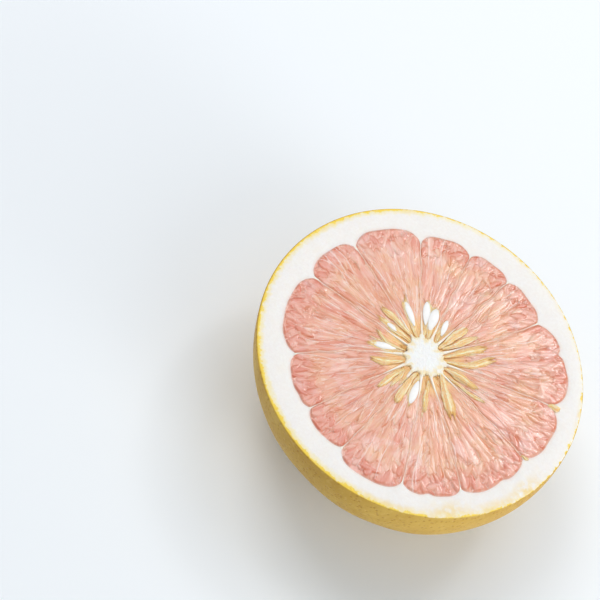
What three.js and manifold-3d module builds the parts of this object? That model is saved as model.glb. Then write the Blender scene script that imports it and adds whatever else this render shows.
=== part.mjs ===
// Half of a pomelo, cut across and lying cut face up: a thick peel of white pith under yellow rind,
// the juicy segments in it, the white core that they meet at, and the seeds that grow from the core.
// Millimetres, +Z up. The fruit is laid out with the cut face at z = 0 and its middle at x = y = 0,
// and the whole group is moved at the end so that it stands on z = 0.

import * as THREE from 'three';
import { mergeVertices } from 'three/addons/utils/BufferGeometryUtils.js';
import Module from 'manifold-3d';

const wasm = await Module();
wasm.setup();

// ---- driving dimensions -------------------------------------------------------------------------

const RIM_R = 82.5;            // the fruit's radius where it is cut, its widest place
const HEIGHT = 64;             // from the flat spot that it stands on to the cut face
const FOOT_R = 14;             // the flat spot at the blossom end
const RIM_EDGE = 0.8;          // the rind's edge is broken by this much at the cut
const LEAN = 4.5;              // the fruit isn't quite round: below the cut its belly swells ...
const LEAN_TOWARDS = 305;      // ... in this direction, in degrees from +X

const PITH_UNDER = 13;         // pith and rind under the segments
const GAP = 0.3;               // room between two neighbouring pieces
const PILLOW = 0.9;            // each segment's cut face swells by this much over its membranes
const STREAK = 0.45;           // and carries this much relief where the juice sacs lie in rows
const STREAKS = 2;             // rows of juice sacs across a segment

const CORE_R = 8.9;            // the white core between its arms, at the cut face
const CORE_ARM_R = 10.9;       // and at the tips of the arms, where the membranes start
const NECK_R = 8.6;            // the core where the seeds' collar lies round it
const COLUMN_R = 11.8;         // the core below the collar
const CAP_Z = -1.3;            // underside of the core's star
const COLLAR_Z = -8.4;         // where the neck ends on the column

const SEED_ROOT_Z = -1.9;      // a seed leaves the collar at this height ...
const SEED_TIP_Z = 0.9;        // ... and its tip lies on the pulp
const CUT_TIP_Z = -0.7;        // a seed that the knife cut through lies lower
const SEED_TAPER = 0.9;        // under 1, a seed's widest place moves towards its root
const SEED_FULLNESS = 0.6;     // under 1, a seed's flanks are full rather than pointed

// The membranes, going round: `inner` is the direction in which each leaves the core, `outer` the
// direction in which it meets the pith, `notch` how far out that is, and `lobe` how far out the
// segment after it reaches.
const WALLS = [
  { inner: 20, outer: 17.7, notch: 65, lobe: 74.5 },
  { inner: 52, outer: 57, notch: 65, lobe: 69 },
  { inner: 79, outer: 79.5, notch: 65, lobe: 68.5 },
  { inner: 99, outer: 99.4, notch: 64, lobe: 68.5 },
  { inner: 125, outer: 123, notch: 62.5, lobe: 70.5 },
  { inner: 152, outer: 154.6, notch: 64, lobe: 69.5 },
  { inner: 180, outer: 180.5, notch: 64, lobe: 70 },
  { inner: 213, outer: 220, notch: 63, lobe: 69 },
  { inner: 243, outer: 245, notch: 65, lobe: 69 },
  { inner: 269, outer: 265.5, notch: 66, lobe: 72 },
  { inner: 297, outer: 293, notch: 67, lobe: 70.5 },
  { inner: 322, outer: 317, notch: 68, lobe: 72 },
  { inner: 352, outer: 349, notch: 67, lobe: 72.5 },
];

// The seeds, going round: where each is rooted, where its tip lies, and how wide it is. Those
// marked `cut` were sliced open, and lie level with the face inside their pocket.
const SEEDS = [
  { root: [11, 1.5], tip: [30, 3], wide: 4.2 },
  { root: [9, 5], tip: [27.5, 21.5], wide: 3.8 },
  { root: [8, 7], tip: [22, 24], wide: 3.8 },
  { root: [5.5, 9.5], tip: [15.5, 27], wide: 4.2 },
  { root: [3.5, 10], tip: [9, 27], wide: 4.5 },
  { root: [0.6, 10.8], tip: [-0.4, 24.7], wide: 3, cut: true },
  { root: [-2.8, 10.6], tip: [-8.4, 26.5], wide: 4.8, cut: true },
  { root: [-4.6, 10], tip: [-14, 28], wide: 4.4 },
  { root: [-6.4, 9], tip: [-22.3, 19], wide: 3.4, cut: true },
  { root: [-7.8, 7.6], tip: [-25, 20.5], wide: 3.6 },
  { root: [-9.4, 5.4], tip: [-29.5, 8], wide: 3.6 },
  { root: [-10.8, 2], tip: [-28, 3], wide: 4.2 },
  { root: [-10.6, -2.6], tip: [-25, -3.5], wide: 3.2 },
  { root: [-10, -4.8], tip: [-26, -9.8], wide: 3.4, cut: true },
  { root: [-7.6, -7.8], tip: [-19, -18], wide: 4.2 },
  { root: [-4, -10.2], tip: [-9, -28.5], wide: 4.2 },
  { root: [1.8, -10.8], tip: [2.5, -29.5], wide: 4.6 },
  { root: [4.6, -9.8], tip: [8, -26.4], wide: 3.6, cut: true },
  { root: [7.4, -8.2], tip: [15, -24], wide: 3.2 },
  { root: [10, -4.4], tip: [27.5, -17.5], wide: 5.4 },
  { root: [11, -0.6], tip: [36.5, -0.8], wide: 2.8 },
];

// ---- how finely the surfaces are divided --------------------------------------------------------

const COLUMNS = 6;             // across each segment
const PULP_ROWS = 6;           // from a segment's inner end to its edge
const DOME_ROWS = 10;          // up the outside of the peel
const SEED_SIDES = 7;
const SEED_STATIONS = 6;

const PULP_DEPTH = HEIGHT - PITH_UNDER;
const INNER_END = 0.2;         // where a segment starts, in radians along its curved underside
const rad = THREE.MathUtils.degToRad;
const lerp = THREE.MathUtils.lerp;

// ---- building closed surfaces -------------------------------------------------------------------

/** Corner points and the facets between them, gathered into one closed surface. */
class Skin {
  points = [];
  facets = [];

  point(x, y, z) {
    this.points.push(x, y, z);
    return this.points.length / 3 - 1;
  }

  quad(a, b, c, d) {
    this.facets.push(a, b, c, a, c, d);
  }

  /** A band of facets from one closed ring of points up to the next one. */
  band(lower, upper) {
    for (let i = 0; i < lower.length; i++) {
      const next = (i + 1) % lower.length;
      this.quad(lower[i], lower[next], upper[next], upper[i]);
    }
  }

  /** Bands through all the rings, from a point on the axis to another one. */
  stack(bottom, rings, top) {
    this.band(rings[0].map(() => bottom), rings[0]);
    for (let i = 1; i < rings.length; i++) this.band(rings[i - 1], rings[i]);
    const last = rings[rings.length - 1];
    this.band(last, last.map(() => top));
  }

  /** The finished surface, without the facets that have shrunk to a line. */
  geometry() {
    const { facets } = this;
    const index = [];
    for (let i = 0; i < facets.length; i += 3) {
      const [a, b, c] = facets.slice(i, i + 3);
      if (a !== b && b !== c && c !== a) index.push(a, b, c);
    }
    const geometry = new THREE.BufferGeometry();
    geometry.setAttribute('position', new THREE.Float32BufferAttribute(this.points, 3));
    geometry.setIndex(index);
    return geometry;
  }
}

/** A closed geometry as a solid that can be joined and cut. */
function solid(geometry) {
  const bare = geometry.clone();
  bare.deleteAttribute('normal');
  bare.deleteAttribute('uv');
  const merged = mergeVertices(bare, 1e-3);
  return new wasm.Manifold(new wasm.Mesh({
    numProp: 3,
    vertProperties: new Float32Array(merged.attributes.position.array),
    triVerts: new Uint32Array(merged.index.array),
  }));
}

/** A solid back as a geometry. */
function skinOf(body) {
  const mesh = body.getMesh();
  const geometry = new THREE.BufferGeometry();
  geometry.setAttribute('position', new THREE.BufferAttribute(mesh.vertProperties, 3));
  geometry.setIndex(new THREE.BufferAttribute(mesh.triVerts, 1));
  return geometry;
}

/** The biggest of the bodies that a cut leaves: slivers between two seeds fall away. */
function mainBody(cut) {
  const bodies = cut.decompose();
  return bodies.reduce((best, body) => (body.volume() > best.volume() ? body : best));
}

// ---- the layout that peel and segments share ----------------------------------------------------

/** Segment k's two membranes, the second one always further round than the first. */
function wallsOf(k) {
  const first = WALLS[k];
  const next = WALLS[(k + 1) % WALLS.length];
  const turn = k + 1 === WALLS.length ? 360 : 0;
  return [first, { ...next, inner: next.inner + turn, outer: next.outer + turn }];
}

/** How far across segment k column i lies, 0 to 1, closer together at its round corners. */
function across(i) {
  return (1 - Math.cos(Math.PI * i / COLUMNS)) / 2;
}

/** Distance from the middle to the pith, at column i of segment k: a lobe with round corners. */
function edgeRadius(k, i) {
  const [first, second] = wallsOf(k);
  const u = across(i);
  const notch = lerp(first.notch, second.notch, u);
  return lerp(notch, first.lobe, Math.sin(Math.PI * u) ** 0.7);
}

/** Direction of column i of segment k in radians, where row j crosses it. */
function direction(k, i, j) {
  const [first, second] = wallsOf(k);
  const out = j / PULP_ROWS;
  const start = lerp(first.inner, first.outer, out);
  const end = lerp(second.inner, second.outer, out);
  return rad(lerp(start, end, across(i)));
}

/** The angle that row j has gone along the segments' curved underside. */
function rowAngle(j) {
  return lerp(INNER_END, Math.PI / 2, j / PULP_ROWS);
}

/** A place on the segments' underside, pushed out by `more`, at column i and row j of segment k. */
function underside(k, i, j, more) {
  const r = (edgeRadius(k, i) + more) * Math.sin(rowAngle(j));
  const a = direction(k, i, j);
  const z = -(PULP_DEPTH + more) * Math.cos(rowAngle(j));
  return new THREE.Vector3(r * Math.cos(a), r * Math.sin(a), z);
}

// ---- the pieces ---------------------------------------------------------------------------------

/** A place on the rind: `a` is the direction, `up` goes from 0 at the rim to 1 at the flat spot. */
function rindPoint(skin, a, up) {
  const footAngle = Math.acos(FOOT_R / RIM_R);
  const drop = up * footAngle;
  const depth = Math.sin(drop) / Math.sin(footAngle);
  const swell = LEAN * Math.sin(Math.PI * depth ** 0.9);
  const r = RIM_R * Math.cos(drop);
  const x = r * Math.cos(a) + swell * Math.cos(rad(LEAN_TOWARDS));
  const y = r * Math.sin(a) + swell * Math.sin(rad(LEAN_TOWARDS));
  return skin.point(x, y, -RIM_EDGE - (HEIGHT - RIM_EDGE) * depth);
}

/** The yellow rind and the white pith in it: a thick cup, scalloped where the segments lie. */
function peel() {
  const skin = new Skin();
  const columns = [];
  for (let k = 0; k < WALLS.length; k++) {
    for (let i = 0; i < COLUMNS; i++) columns.push([k, i]);
  }
  const rings = [];
  for (let row = DOME_ROWS; row >= 0; row--) {
    rings.push(columns.map(([k, i]) => rindPoint(skin, direction(k, i, PULP_ROWS), row / DOME_ROWS)));
  }
  rings.push(columns.map(([k, i]) => {
    const a = direction(k, i, PULP_ROWS);
    return skin.point((RIM_R - RIM_EDGE) * Math.cos(a), (RIM_R - RIM_EDGE) * Math.sin(a), 0);
  }));
  for (let j = PULP_ROWS; j >= 0; j--) {
    rings.push(columns.map(([k, i]) => skin.point(...underside(k, i, j, GAP))));
  }
  skin.stack(skin.point(0, 0, -HEIGHT), rings, skin.point(0, 0, -PULP_DEPTH - GAP));
  return skin.geometry();
}

/** The height of segment k's cut face, `u` across it and `v` along it: a pillow with fine rows. */
function pulpRelief(u, v) {
  const pillow = Math.sqrt(Math.sin(Math.PI * u) * Math.sin(Math.PI * v));
  const rows = Math.cos(2 * Math.PI * STREAKS * u) * Math.sin(Math.PI * v);
  return PILLOW * pillow + STREAK * rows;
}

/** A segment: a wedge of juice sacs between two membranes, round outside, narrow at the core. */
function segment(k) {
  const skin = new Skin();
  const top = [];
  const under = [];
  for (let j = 0; j <= PULP_ROWS; j++) {
    top.push([]);
    under.push([]);
    for (let i = 0; i <= COLUMNS; i++) {
      const place = underside(k, i, j, 0);
      const side = direction(k, i, j);
      const inward = i === 0 ? GAP / 2 : i === COLUMNS ? -GAP / 2 : 0;
      place.x -= inward * Math.sin(side);
      place.y += inward * Math.cos(side);
      under[j].push(skin.point(place.x, place.y, j === PULP_ROWS ? 0 : place.z));
      const relief = pulpRelief(across(i), j / PULP_ROWS);
      top[j].push(j === PULP_ROWS ? under[j][i] : skin.point(place.x, place.y, relief));
    }
  }
  for (let j = 0; j < PULP_ROWS; j++) {
    for (let i = 0; i < COLUMNS; i++) {
      skin.quad(top[j][i], top[j + 1][i], top[j + 1][i + 1], top[j][i + 1]);
      skin.quad(under[j][i + 1], under[j + 1][i + 1], under[j + 1][i], under[j][i]);
    }
    skin.quad(under[j][0], under[j + 1][0], top[j + 1][0], top[j][0]);
    skin.quad(top[j][COLUMNS], top[j + 1][COLUMNS], under[j + 1][COLUMNS], under[j][COLUMNS]);
  }
  for (let i = 0; i < COLUMNS; i++) {
    skin.quad(top[0][i], top[0][i + 1], under[0][i + 1], under[0][i]);
  }
  return skin.geometry();
}

/** The white core: a star at the cut face, a neck under it, and a column down to the pith. */
function core() {
  const skin = new Skin();
  const spokes = [];
  for (let k = 0; k < WALLS.length; k++) {
    const [first, second] = wallsOf(k);
    spokes.push({ a: rad(first.inner), star: CORE_ARM_R });
    spokes.push({ a: rad((first.inner + second.inner) / 2), star: CORE_R });
  }
  const ring = (radius, z) => spokes.map((spoke) => {
    const r = radius ?? spoke.star;
    return skin.point(r * Math.cos(spoke.a), r * Math.sin(spoke.a), z);
  });
  const foot = -PULP_DEPTH + 2.5 * GAP;
  const rings = [
    ring(COLUMN_R, foot),
    ring(COLUMN_R, COLLAR_Z),
    ring(NECK_R, COLLAR_Z),
    ring(NECK_R, CAP_Z),
    ring(null, CAP_Z),
    ring(null, 0),
  ];
  skin.stack(skin.point(0, 0, foot), rings, skin.point(0, 0, 0));
  return skin.geometry();
}

/** One seed: a drop, pointed at the root and blunt at the tip, with `more` added all round. */
function seed({ root, tip, wide, cut = false }, more) {
  const from = new THREE.Vector3(...root, SEED_ROOT_Z);
  const to = new THREE.Vector3(...tip, cut ? CUT_TIP_Z : SEED_TIP_Z);
  const along = to.clone().sub(from);
  const profile = [new THREE.Vector2(0, -more)];
  for (let s = 1; s < SEED_STATIONS; s++) {
    const t = s / SEED_STATIONS;
    const r = wide / 2 * Math.sin(Math.PI * t ** SEED_TAPER) ** SEED_FULLNESS;
    profile.push(new THREE.Vector2(r + more, t * along.length()));
  }
  profile.push(new THREE.Vector2(0, along.length() + more));
  const drop = new THREE.LatheGeometry(profile, SEED_SIDES);
  const turn = new THREE.Quaternion();
  turn.setFromUnitVectors(new THREE.Vector3(0, 1, 0), along.normalize());
  drop.applyQuaternion(turn);
  drop.translate(from.x, from.y, from.z);
  return solid(drop);
}

/** The collar round the core's neck that all the seeds are rooted in. */
function collar(more) {
  const inside = NECK_R + GAP - more;
  const outside = COLUMN_R + more;
  const low = COLLAR_Z + GAP - more;
  const high = CAP_Z - GAP + more;
  const section = [[inside, low], [outside, low], [outside, high], [inside, high], [inside, low]];
  const ring = new THREE.LatheGeometry(section.map((p) => new THREE.Vector2(...p)), 26);
  ring.rotateX(Math.PI / 2);
  return solid(ring);
}

/** The seeds on their collar, joined into one body, with `more` added all round. */
function seedCluster(more) {
  return SEEDS.reduce((cluster, one) => cluster.add(seed(one, more)), collar(more));
}

// ---- the half fruit -----------------------------------------------------------------------------

const group = new THREE.Group();

/** Adds a piece under its name, in its own colour. */
function add(name, geometry, color, roughness) {
  const material = new THREE.MeshStandardMaterial({ color, roughness, metalness: 0 });
  const mesh = new THREE.Mesh(geometry, material);
  mesh.name = name;
  group.add(mesh);
}

const pocket = seedCluster(GAP);
add('peel', peel(), 0xf2d060, 0.5);
add('core', skinOf(mainBody(solid(core()).subtract(pocket))), 0xf6f2e6, 0.8);
add('seeds', skinOf(seedCluster(0)), 0xe2bd6a, 0.45);
for (let k = 0; k < WALLS.length; k++) {
  const wedge = mainBody(solid(segment(k)).subtract(pocket));
  add(`segment_${String(k + 1).padStart(2, '0')}`, skinOf(wedge), 0xe8b09a, 0.35);
}

const box = new THREE.Box3().setFromObject(group);
const middle = box.getCenter(new THREE.Vector3());
group.position.set(-middle.x, -middle.y, HEIGHT);

export default group;
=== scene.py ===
import math

import bmesh
import bpy
import numpy as np
from mathutils import Matrix, Vector
from mathutils.noise import fractal


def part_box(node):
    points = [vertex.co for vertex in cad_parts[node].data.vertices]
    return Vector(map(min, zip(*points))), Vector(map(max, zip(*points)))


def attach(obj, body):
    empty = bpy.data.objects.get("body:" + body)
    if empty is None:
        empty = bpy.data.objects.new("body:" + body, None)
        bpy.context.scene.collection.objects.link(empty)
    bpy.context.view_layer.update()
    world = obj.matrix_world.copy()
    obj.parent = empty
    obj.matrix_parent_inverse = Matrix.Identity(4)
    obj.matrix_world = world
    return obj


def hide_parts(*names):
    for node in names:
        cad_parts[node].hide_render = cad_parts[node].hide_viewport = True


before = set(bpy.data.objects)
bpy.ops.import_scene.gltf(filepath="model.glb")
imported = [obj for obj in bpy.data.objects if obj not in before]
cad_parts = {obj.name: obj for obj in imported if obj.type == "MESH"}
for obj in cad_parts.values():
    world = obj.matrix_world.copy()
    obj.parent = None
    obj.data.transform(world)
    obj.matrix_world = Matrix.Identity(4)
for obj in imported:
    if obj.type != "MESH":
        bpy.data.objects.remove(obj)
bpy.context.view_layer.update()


# ==== The peel ===================================================================================
# A thick cup of spongy white pith under a thin, waxy yellow rind full of oil glands. It is cut
# across at its widest place, so its rim shows the pith with a ragged yellow line round it, and the
# pith comes inwards in a wedge at each membrane, between the round ends of two segments.

RIM_R = 82.5  # millimetres, as all sizes here: the fruit's radius where it is cut
HEIGHT = 64  # from the flat spot that it stands on up to the cut
FOOT_R = 14  # that flat spot
RIM_EDGE = 0.8  # the rind's broken edge at the cut
LEAN, LEAN_TOWARDS = 4.5, math.radians(305)  # the belly swells this way below the cut
FLANK, FLANK_TOWARDS, FLANK_WIDTH = 1.5, math.radians(250), 0.42  # and is a little flatter here
PITH_UNDER = 13  # the pith's thickness under the pulp
LUMPS, DIMPLES = 0.5, 0.25  # how far the rind swells and dents, in long and in short waves
KNIFE_WAVE, KNIFE_GRAIN = 0.12, 0.06  # how uneven the knife left the pith
PITH_SWELL = 0.25  # how far the pith stands up between the rind and the pulp
INNER_LIP = 0.05  # how far it droops where it meets the pulp
SCAR_R = 4.4  # of the dry scar in the middle of the flat spot, where the flower was
FAR_OFF = 9  # the distance to the pulp that is painted where the pulp is nowhere near
WELD = 1e-3  # points nearer to each other than this are one
SMOOTH_UNDER = math.radians(50)  # facets that meet at less than this are shaded as one surface
AXIS_X, AXIS_Y = -0.19, 0.51  # the fruit's axis in the frame
FACE_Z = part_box("peel")[1].z  # metres: the level of the cut
PLACE = Matrix.Translation((AXIS_X / 1000, AXIS_Y / 1000, FACE_Z)) @ Matrix.Scale(0.001, 4)
PULP_DEPTH = HEIGHT - PITH_UNDER

# The membranes, going round: the direction in which each leaves the core, the direction in which
# it meets the pith, how far out that is, and how far out the segment after it reaches at its
# first and at its second shoulder.
WALLS = [
    (20, 17.7, 65, 75.6, 71.8),
    (52, 57, 65, 68.6, 69.1),
    (79, 79.5, 65, 68.3, 68.8),
    (99, 99.4, 64, 69.0, 68.7),
    (125, 123, 62.5, 70.8, 70.5),
    (152, 154.6, 64, 69.8, 69.4),
    (180, 180.5, 63.5, 70.4, 70.1),
    (213, 220, 63, 67.2, 69.4),
    (243, 245, 65, 69.2, 68.7),
    (269, 265.5, 66, 73.0, 72.5),
    (297, 293, 67, 71.6, 72.2),
    (322, 317, 68, 72.4, 70.6),
    (352, 349, 67, 72.0, 72.7),
]
# Shallow dents in a segment's round end: direction, depth and width in degrees.
DENTS = [(42, 1.9, 1.5), (303.5, 1.3, 2.0), (238, 0.5, 2.4), (335, 0.9, 2.2)]


def ripple(angle, seed, lowest, highest, amount):
    """A smooth, seeded waviness round the fruit, with `lowest` to `highest` waves in a turn."""
    rng = np.random.default_rng(seed)
    waves = np.arange(lowest, highest + 1)
    phase = rng.uniform(0, 2 * np.pi, len(waves))
    size = rng.uniform(0.4, 1.0, len(waves)) / np.sqrt(len(waves))
    return amount * sum(s * np.sin(w * angle + p) for w, p, s in zip(waves, phase, size))


def walls_of(k):
    """Segment k's two membranes, the second one always further round than the first."""
    first, second = WALLS[k], WALLS[(k + 1) % len(WALLS)]
    turn = 360 if k + 1 == len(WALLS) else 0
    return first, (second[0] + turn, second[1] + turn, *second[2:])


def edge_radius(k, u):
    """How far out segment k reaches, at `u` from 0 to 1 across it: a lobe with round corners."""
    first, second = walls_of(k)
    notch = first[2] + (second[2] - first[2]) * u
    direction = first[1] + (second[1] - first[1]) * u
    lobe = first[3] + (first[4] - first[3]) * u
    reach = notch + (lobe - notch) * np.clip(1 - (2 * u - 1) ** 4, 0, 1) ** 0.8
    for middle, depth, width in DENTS:
        away = (direction - middle + 180) % 360 - 180
        reach = reach - depth * np.exp(-((away / width) ** 2))
    uneven = ripple(np.radians(direction), 11, 10, 34, 0.3)
    return reach + uneven * np.clip(np.sin(np.pi * u) * 2, 0, 1)


def edge_round(angle):
    """How far out the pulp reaches in each of the directions, which are in radians from 0."""
    degrees = np.degrees(angle) % 360
    reach = np.zeros_like(degrees)
    for k in range(len(WALLS)):
        first, second = walls_of(k)
        u = ((degrees - first[1]) % 360) / (second[1] - first[1])
        inside = u <= 1
        reach[inside] = edge_radius(k, u[inside])
    return reach


def rind_place(angle, up):
    """A place on the rind, from `up` = 0 at the rim to 1 at the flat spot."""
    foot_angle = math.acos(FOOT_R / RIM_R)
    drop = up * foot_angle
    depth = np.sin(drop) / math.sin(foot_angle)
    swell = LEAN * np.sin(np.pi * depth ** 0.9)
    settle = np.sin(np.pi * np.clip(depth, 0, 1)) ** 0.5
    uneven = ripple(angle, 3, 2, 7, LUMPS) * np.sin(drop * 3) + ripple(angle, 4, 5, 14, DIMPLES)
    flank = FLANK * np.exp(-(((angle - FLANK_TOWARDS) / FLANK_WIDTH) ** 2))
    r = RIM_R * np.cos(drop) + (uneven - flank) * settle
    x = r * np.cos(angle) + swell * math.cos(LEAN_TOWARDS)
    y = r * np.sin(angle) + swell * math.sin(LEAN_TOWARDS)
    return x, y, -RIM_EDGE - (HEIGHT - RIM_EDGE) * depth


# How wide the yellow line shows on the cut, going round: direction and millimetres.
RIM_LINE = [
    (0, 0.5), (40, 0.6), (75, 0.8), (110, 1.2), (150, 1.5), (185, 1.4), (215, 1.5), (250, 1.7),
    (275, 1.6), (292, 1.0), (315, 1.0), (335, 0.7), (360, 0.5),
]
# Where juice and oil have stained the pith yellow: direction, half width in degrees, depth.
STAINS = [
    (311, 6, 10.0), (327, 8, 6.0), (341, 6, 8.5), (289, 13, 5.0), (250, 12, 3.0), (160, 12, 4.0),
    (128, 5, 3.5), (18, 4, 2.5),
]


def peel_rows():
    """The rows of the peel's surface, from the middle of its foot round to the middle inside."""
    rows = [("foot", f) for f in np.linspace(0, 1, 5)[:-1]]
    rows += [("rind", f) for f in np.linspace(1, 0, 92)]
    rows += [("edge", f) for f in (0.35, 0.7)]
    rows += [("pith", f) for f in np.linspace(0, 1, 27)]
    rows += [("inside", f) for f in np.linspace(0, 1, 13)[1:]]
    return rows


def peel_place(kind, f, angle):
    """Where one row of the peel's surface runs, how deep below the rind it lies, and how far
    from the pulp."""
    cos, sin = np.cos(angle), np.sin(angle)
    reach = edge_round(angle)
    level, far = 0 * angle, FAR_OFF + 0 * angle
    if kind == "foot":
        x, y, z = rind_place(angle, 1)
        return x * f, y * f, z + level, level, far
    if kind == "rind":
        x, y, z = rind_place(angle, f)
        return x, y, z + level, level, far
    if kind == "edge":
        r = RIM_R - RIM_EDGE * (1 - math.sqrt(1 - f * f))
        return r * cos, r * sin, -RIM_EDGE * (1 - f) + level, RIM_R - r + level, far
    if kind == "pith":
        outer = RIM_R - RIM_EDGE
        r = outer + (reach - outer) * f
        knife = ripple(angle, 21, 3, 16, KNIFE_WAVE) + ripple(angle, 22, 20, 60, KNIFE_GRAIN)
        z = (knife * (1 - f ** 6) + PITH_SWELL * math.sin(math.pi * f)) * min(1, 6 * f)
        return r * cos, r * sin, z - INNER_LIP * f ** 8, RIM_R - r, r - reach
    turned = f * np.pi / 2
    r = reach * math.cos(turned)
    z = -INNER_LIP - (PULP_DEPTH - INNER_LIP) * math.sin(turned) + level
    return r * cos, r * sin, z, RIM_R - reach, level


def peel_mesh(columns=540):
    """A sheet of facets laid over all those rows and sewn together at its seam and two poles."""
    rows = peel_rows()
    bm = bmesh.new()
    bmesh.ops.create_grid(bm, x_segments=columns, y_segments=len(rows) - 1, size=0.5)
    names = ("skin_depth", "to_pulp", "rim_line", "stain")
    layers = {name: bm.verts.layers.float.new(name) for name in names}
    verts = list(bm.verts)
    across = np.array([v.co.x + 0.5 for v in verts])
    along = np.rint(np.array([v.co.y + 0.5 for v in verts]) * (len(rows) - 1)).astype(int)
    for j, (kind, f) in enumerate(rows):
        row = np.flatnonzero(along == j)
        angle = across[row] * 2 * np.pi
        x, y, z, depth, to_pulp = peel_place(kind, f, angle)
        degrees = np.degrees(angle)
        line = np.interp(degrees, *zip(*RIM_LINE))
        stain = np.zeros_like(degrees)
        for middle, half, deep in STAINS:
            nearness = np.exp(-(((degrees - middle) / half) ** 2))
            stain += nearness * np.clip(1.4 - 1.4 * depth / deep, 0, 1)
        for n, i in enumerate(row):
            verts[i].co = (x[n], y[n], z[n])
            for name, values in zip(names, (depth, to_pulp, line, stain)):
                verts[i][layers[name]] = values[n]
    bmesh.ops.remove_doubles(bm, verts=bm.verts, dist=WELD)
    return bm


def add_piece(bm, name, material, node):
    """Puts a finished mesh in its place in the fruit, as a piece that stands for `node`."""
    bmesh.ops.recalc_face_normals(bm, faces=bm.faces)
    bmesh.ops.transform(bm, matrix=PLACE, verts=bm.verts)
    mesh = bpy.data.meshes.new(name)
    bm.to_mesh(mesh)
    bm.free()
    mesh.materials.append(material)
    mesh.shade_smooth()
    mesh.set_sharp_from_angle(angle=SMOOTH_UNDER)
    piece = bpy.data.objects.new(name, mesh)
    bpy.context.scene.collection.objects.link(piece)
    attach(piece, "root")
    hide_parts(node)


def colour(r, g, b):
    """A colour as the eye names it, 0 to 255, turned into the light that the shader works in."""
    shares = (r / 255, g / 255, b / 255)
    return tuple(c / 12.92 if c <= 0.04045 else ((c + 0.055) / 1.055) ** 2.4 for c in shares)


class Value:
    """A value that changes over a surface. Sums with it add the nodes that work them out."""

    def __init__(self, finish, socket):
        self.finish, self.socket = finish, socket

    def math(self, operation, *others):
        return self.finish.node("Math", dict(enumerate((self, *others))), operation=operation)

    def __add__(self, other):
        return self.math("ADD", other)

    __radd__ = __add__

    def __mul__(self, other):
        return self.math("MULTIPLY", other)

    __rmul__ = __mul__

    def __sub__(self, other):
        return self.math("SUBTRACT", other)

    def __rsub__(self, other):
        return self.finish.node("Math", {0: other, 1: self}, operation="SUBTRACT")

    def line_at(self, level, width):
        """A soft line wherever the value passes `level`."""
        return (self - level).math("ABSOLUTE").step(width, 0)

    def step(self, low, high):
        """0 below `low`, 1 above `high`, and smooth between. With high under low it falls."""
        ends = {"Value": self, "From Min": low, "From Max": high}
        return self.finish.node("MapRange", ends, interpolation_type="SMOOTHSTEP")


class Finish:
    """A material, and the nodes that its shader is fed by."""

    def __init__(self, name):
        self.material = bpy.data.materials.new(name)
        self.material.use_nodes = True
        self.tree = self.material.node_tree
        self.shader = self.tree.nodes["Principled BSDF"]

    def feed(self, socket, value):
        if isinstance(value, Value):
            self.tree.links.new(value.socket, socket)
        elif socket.type == "RGBA":
            socket.default_value = (*value, 1)
        else:
            socket.default_value = value

    def node(self, kind, inputs, output=0, stops=None, **settings):
        """One shader node: its settings first, then its inputs by name or number."""
        made = self.tree.nodes.new("ShaderNode" + kind)
        for name, value in settings.items():
            setattr(made, name, value)
        if stops:
            ramp = made.color_ramp
            for i, (position, shade) in enumerate(stops):
                stop = ramp.elements[i] if i < 2 else ramp.elements.new(position)
                stop.position = position
                stop.color = (*shade, 1)
        for key, value in inputs.items():
            self.feed(made.inputs[key], value)
        return Value(self, made.outputs[output])

    def place(self):
        return self.node("TexCoord", {}, "Object")

    def painted(self, name, output="Fac"):
        """A value that the mesh holds at its points."""
        return self.node("Attribute", {}, output, attribute_name=name)

    def noise(self, size, detail=3, rough=0.5, where=None, output="Fac"):
        """Clouds of about `size` metres, or of `size` in the units of `where`."""
        where = where or self.place()
        inputs = {"Vector": where, "Scale": 1 / size, "Detail": detail, "Roughness": rough}
        return self.node("TexNoise", inputs, output)

    def cells(self, size, randomness=1.0):
        """Distance to the nearest of a scatter of points about `size` apart."""
        inputs = {"Vector": self.place(), "Scale": 1 / size, "Randomness": randomness}
        return self.node("TexVoronoi", inputs, feature="F1")

    def mix(self, mask, a, b):
        return self.node("Mix", {0: mask, 6: a, 7: b}, 2, data_type="RGBA")

    def bump(self, height, distance, strength=1.0, under=None):
        inputs = {"Height": height, "Distance": distance, "Strength": strength}
        if under:
            inputs["Normal"] = under
        return self.node("Bump", inputs)

    def set(self, **sockets):
        for name, value in sockets.items():
            self.feed(self.shader.inputs[name.replace("_", " ")], value)
        return self.material


GOLD, STRAW, OCHRE = colour(198, 154, 60), colour(213, 175, 82), colour(192, 146, 56)
GLAND_BROWN, GLAND_RIM = colour(176, 120, 40), colour(224, 190, 104)
FRECKLE_BROWN = colour(122, 88, 40)
SCAR_RING, SCAR_BROWN = colour(150, 112, 48), colour(170, 124, 58)
CUT_YELLOW, FRAYED_YELLOW = colour(250, 214, 82), colour(250, 230, 148)
PITH_WHITE, PITH_BRIGHT = colour(244, 238, 233), colour(248, 244, 240)
PITH_CREAM, PITH_PINK = colour(246, 236, 222), colour(247, 226, 214)
JUICE_STAIN, OIL_STAIN = colour(243, 217, 158), colour(250, 232, 166)
GLAND_SPACING, WIDE_SPACING, FRECKLE_SPACING = 0.0021, 0.0040, 0.0055  # metres
GLAND_DEPTH, WAX_DEPTH, SPONGE_DEPTH = 0.0002, 0.00008, 0.00018


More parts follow.
